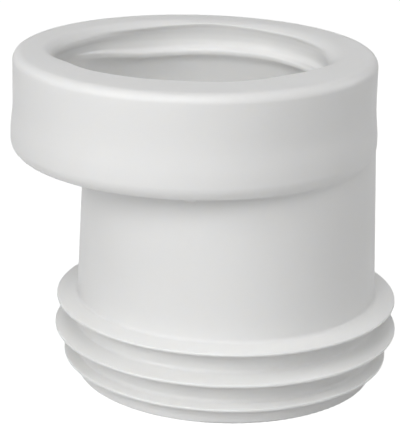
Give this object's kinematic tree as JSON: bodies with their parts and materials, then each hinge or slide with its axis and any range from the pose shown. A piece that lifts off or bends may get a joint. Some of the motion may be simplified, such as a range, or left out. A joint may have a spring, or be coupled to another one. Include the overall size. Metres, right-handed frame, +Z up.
{
  "type": "toilet pan connector",
  "caption": "Offset connector moulded in one soft white piece: a wide lipped cup for a toilet pan's outlet, set to one side of a plain barrel whose finned tail seals in a soil pipe.",
  "frame": {"origin": "centre of the tail's end face, on the barrel's axis", "axes": "+Z up the barrel to the cup's mouth; the cup is set off towards -X and is almost flush with the barrel at +X"},
  "size_m": [0.1332, 0.1238, 0.1123],
  "materials": {
    "soft_white_plastic": "satin, as moulded"
  },
  "bodies": {
    "root": {"pan_connector": "soft_white_plastic"}
  },
  "joints": []
}
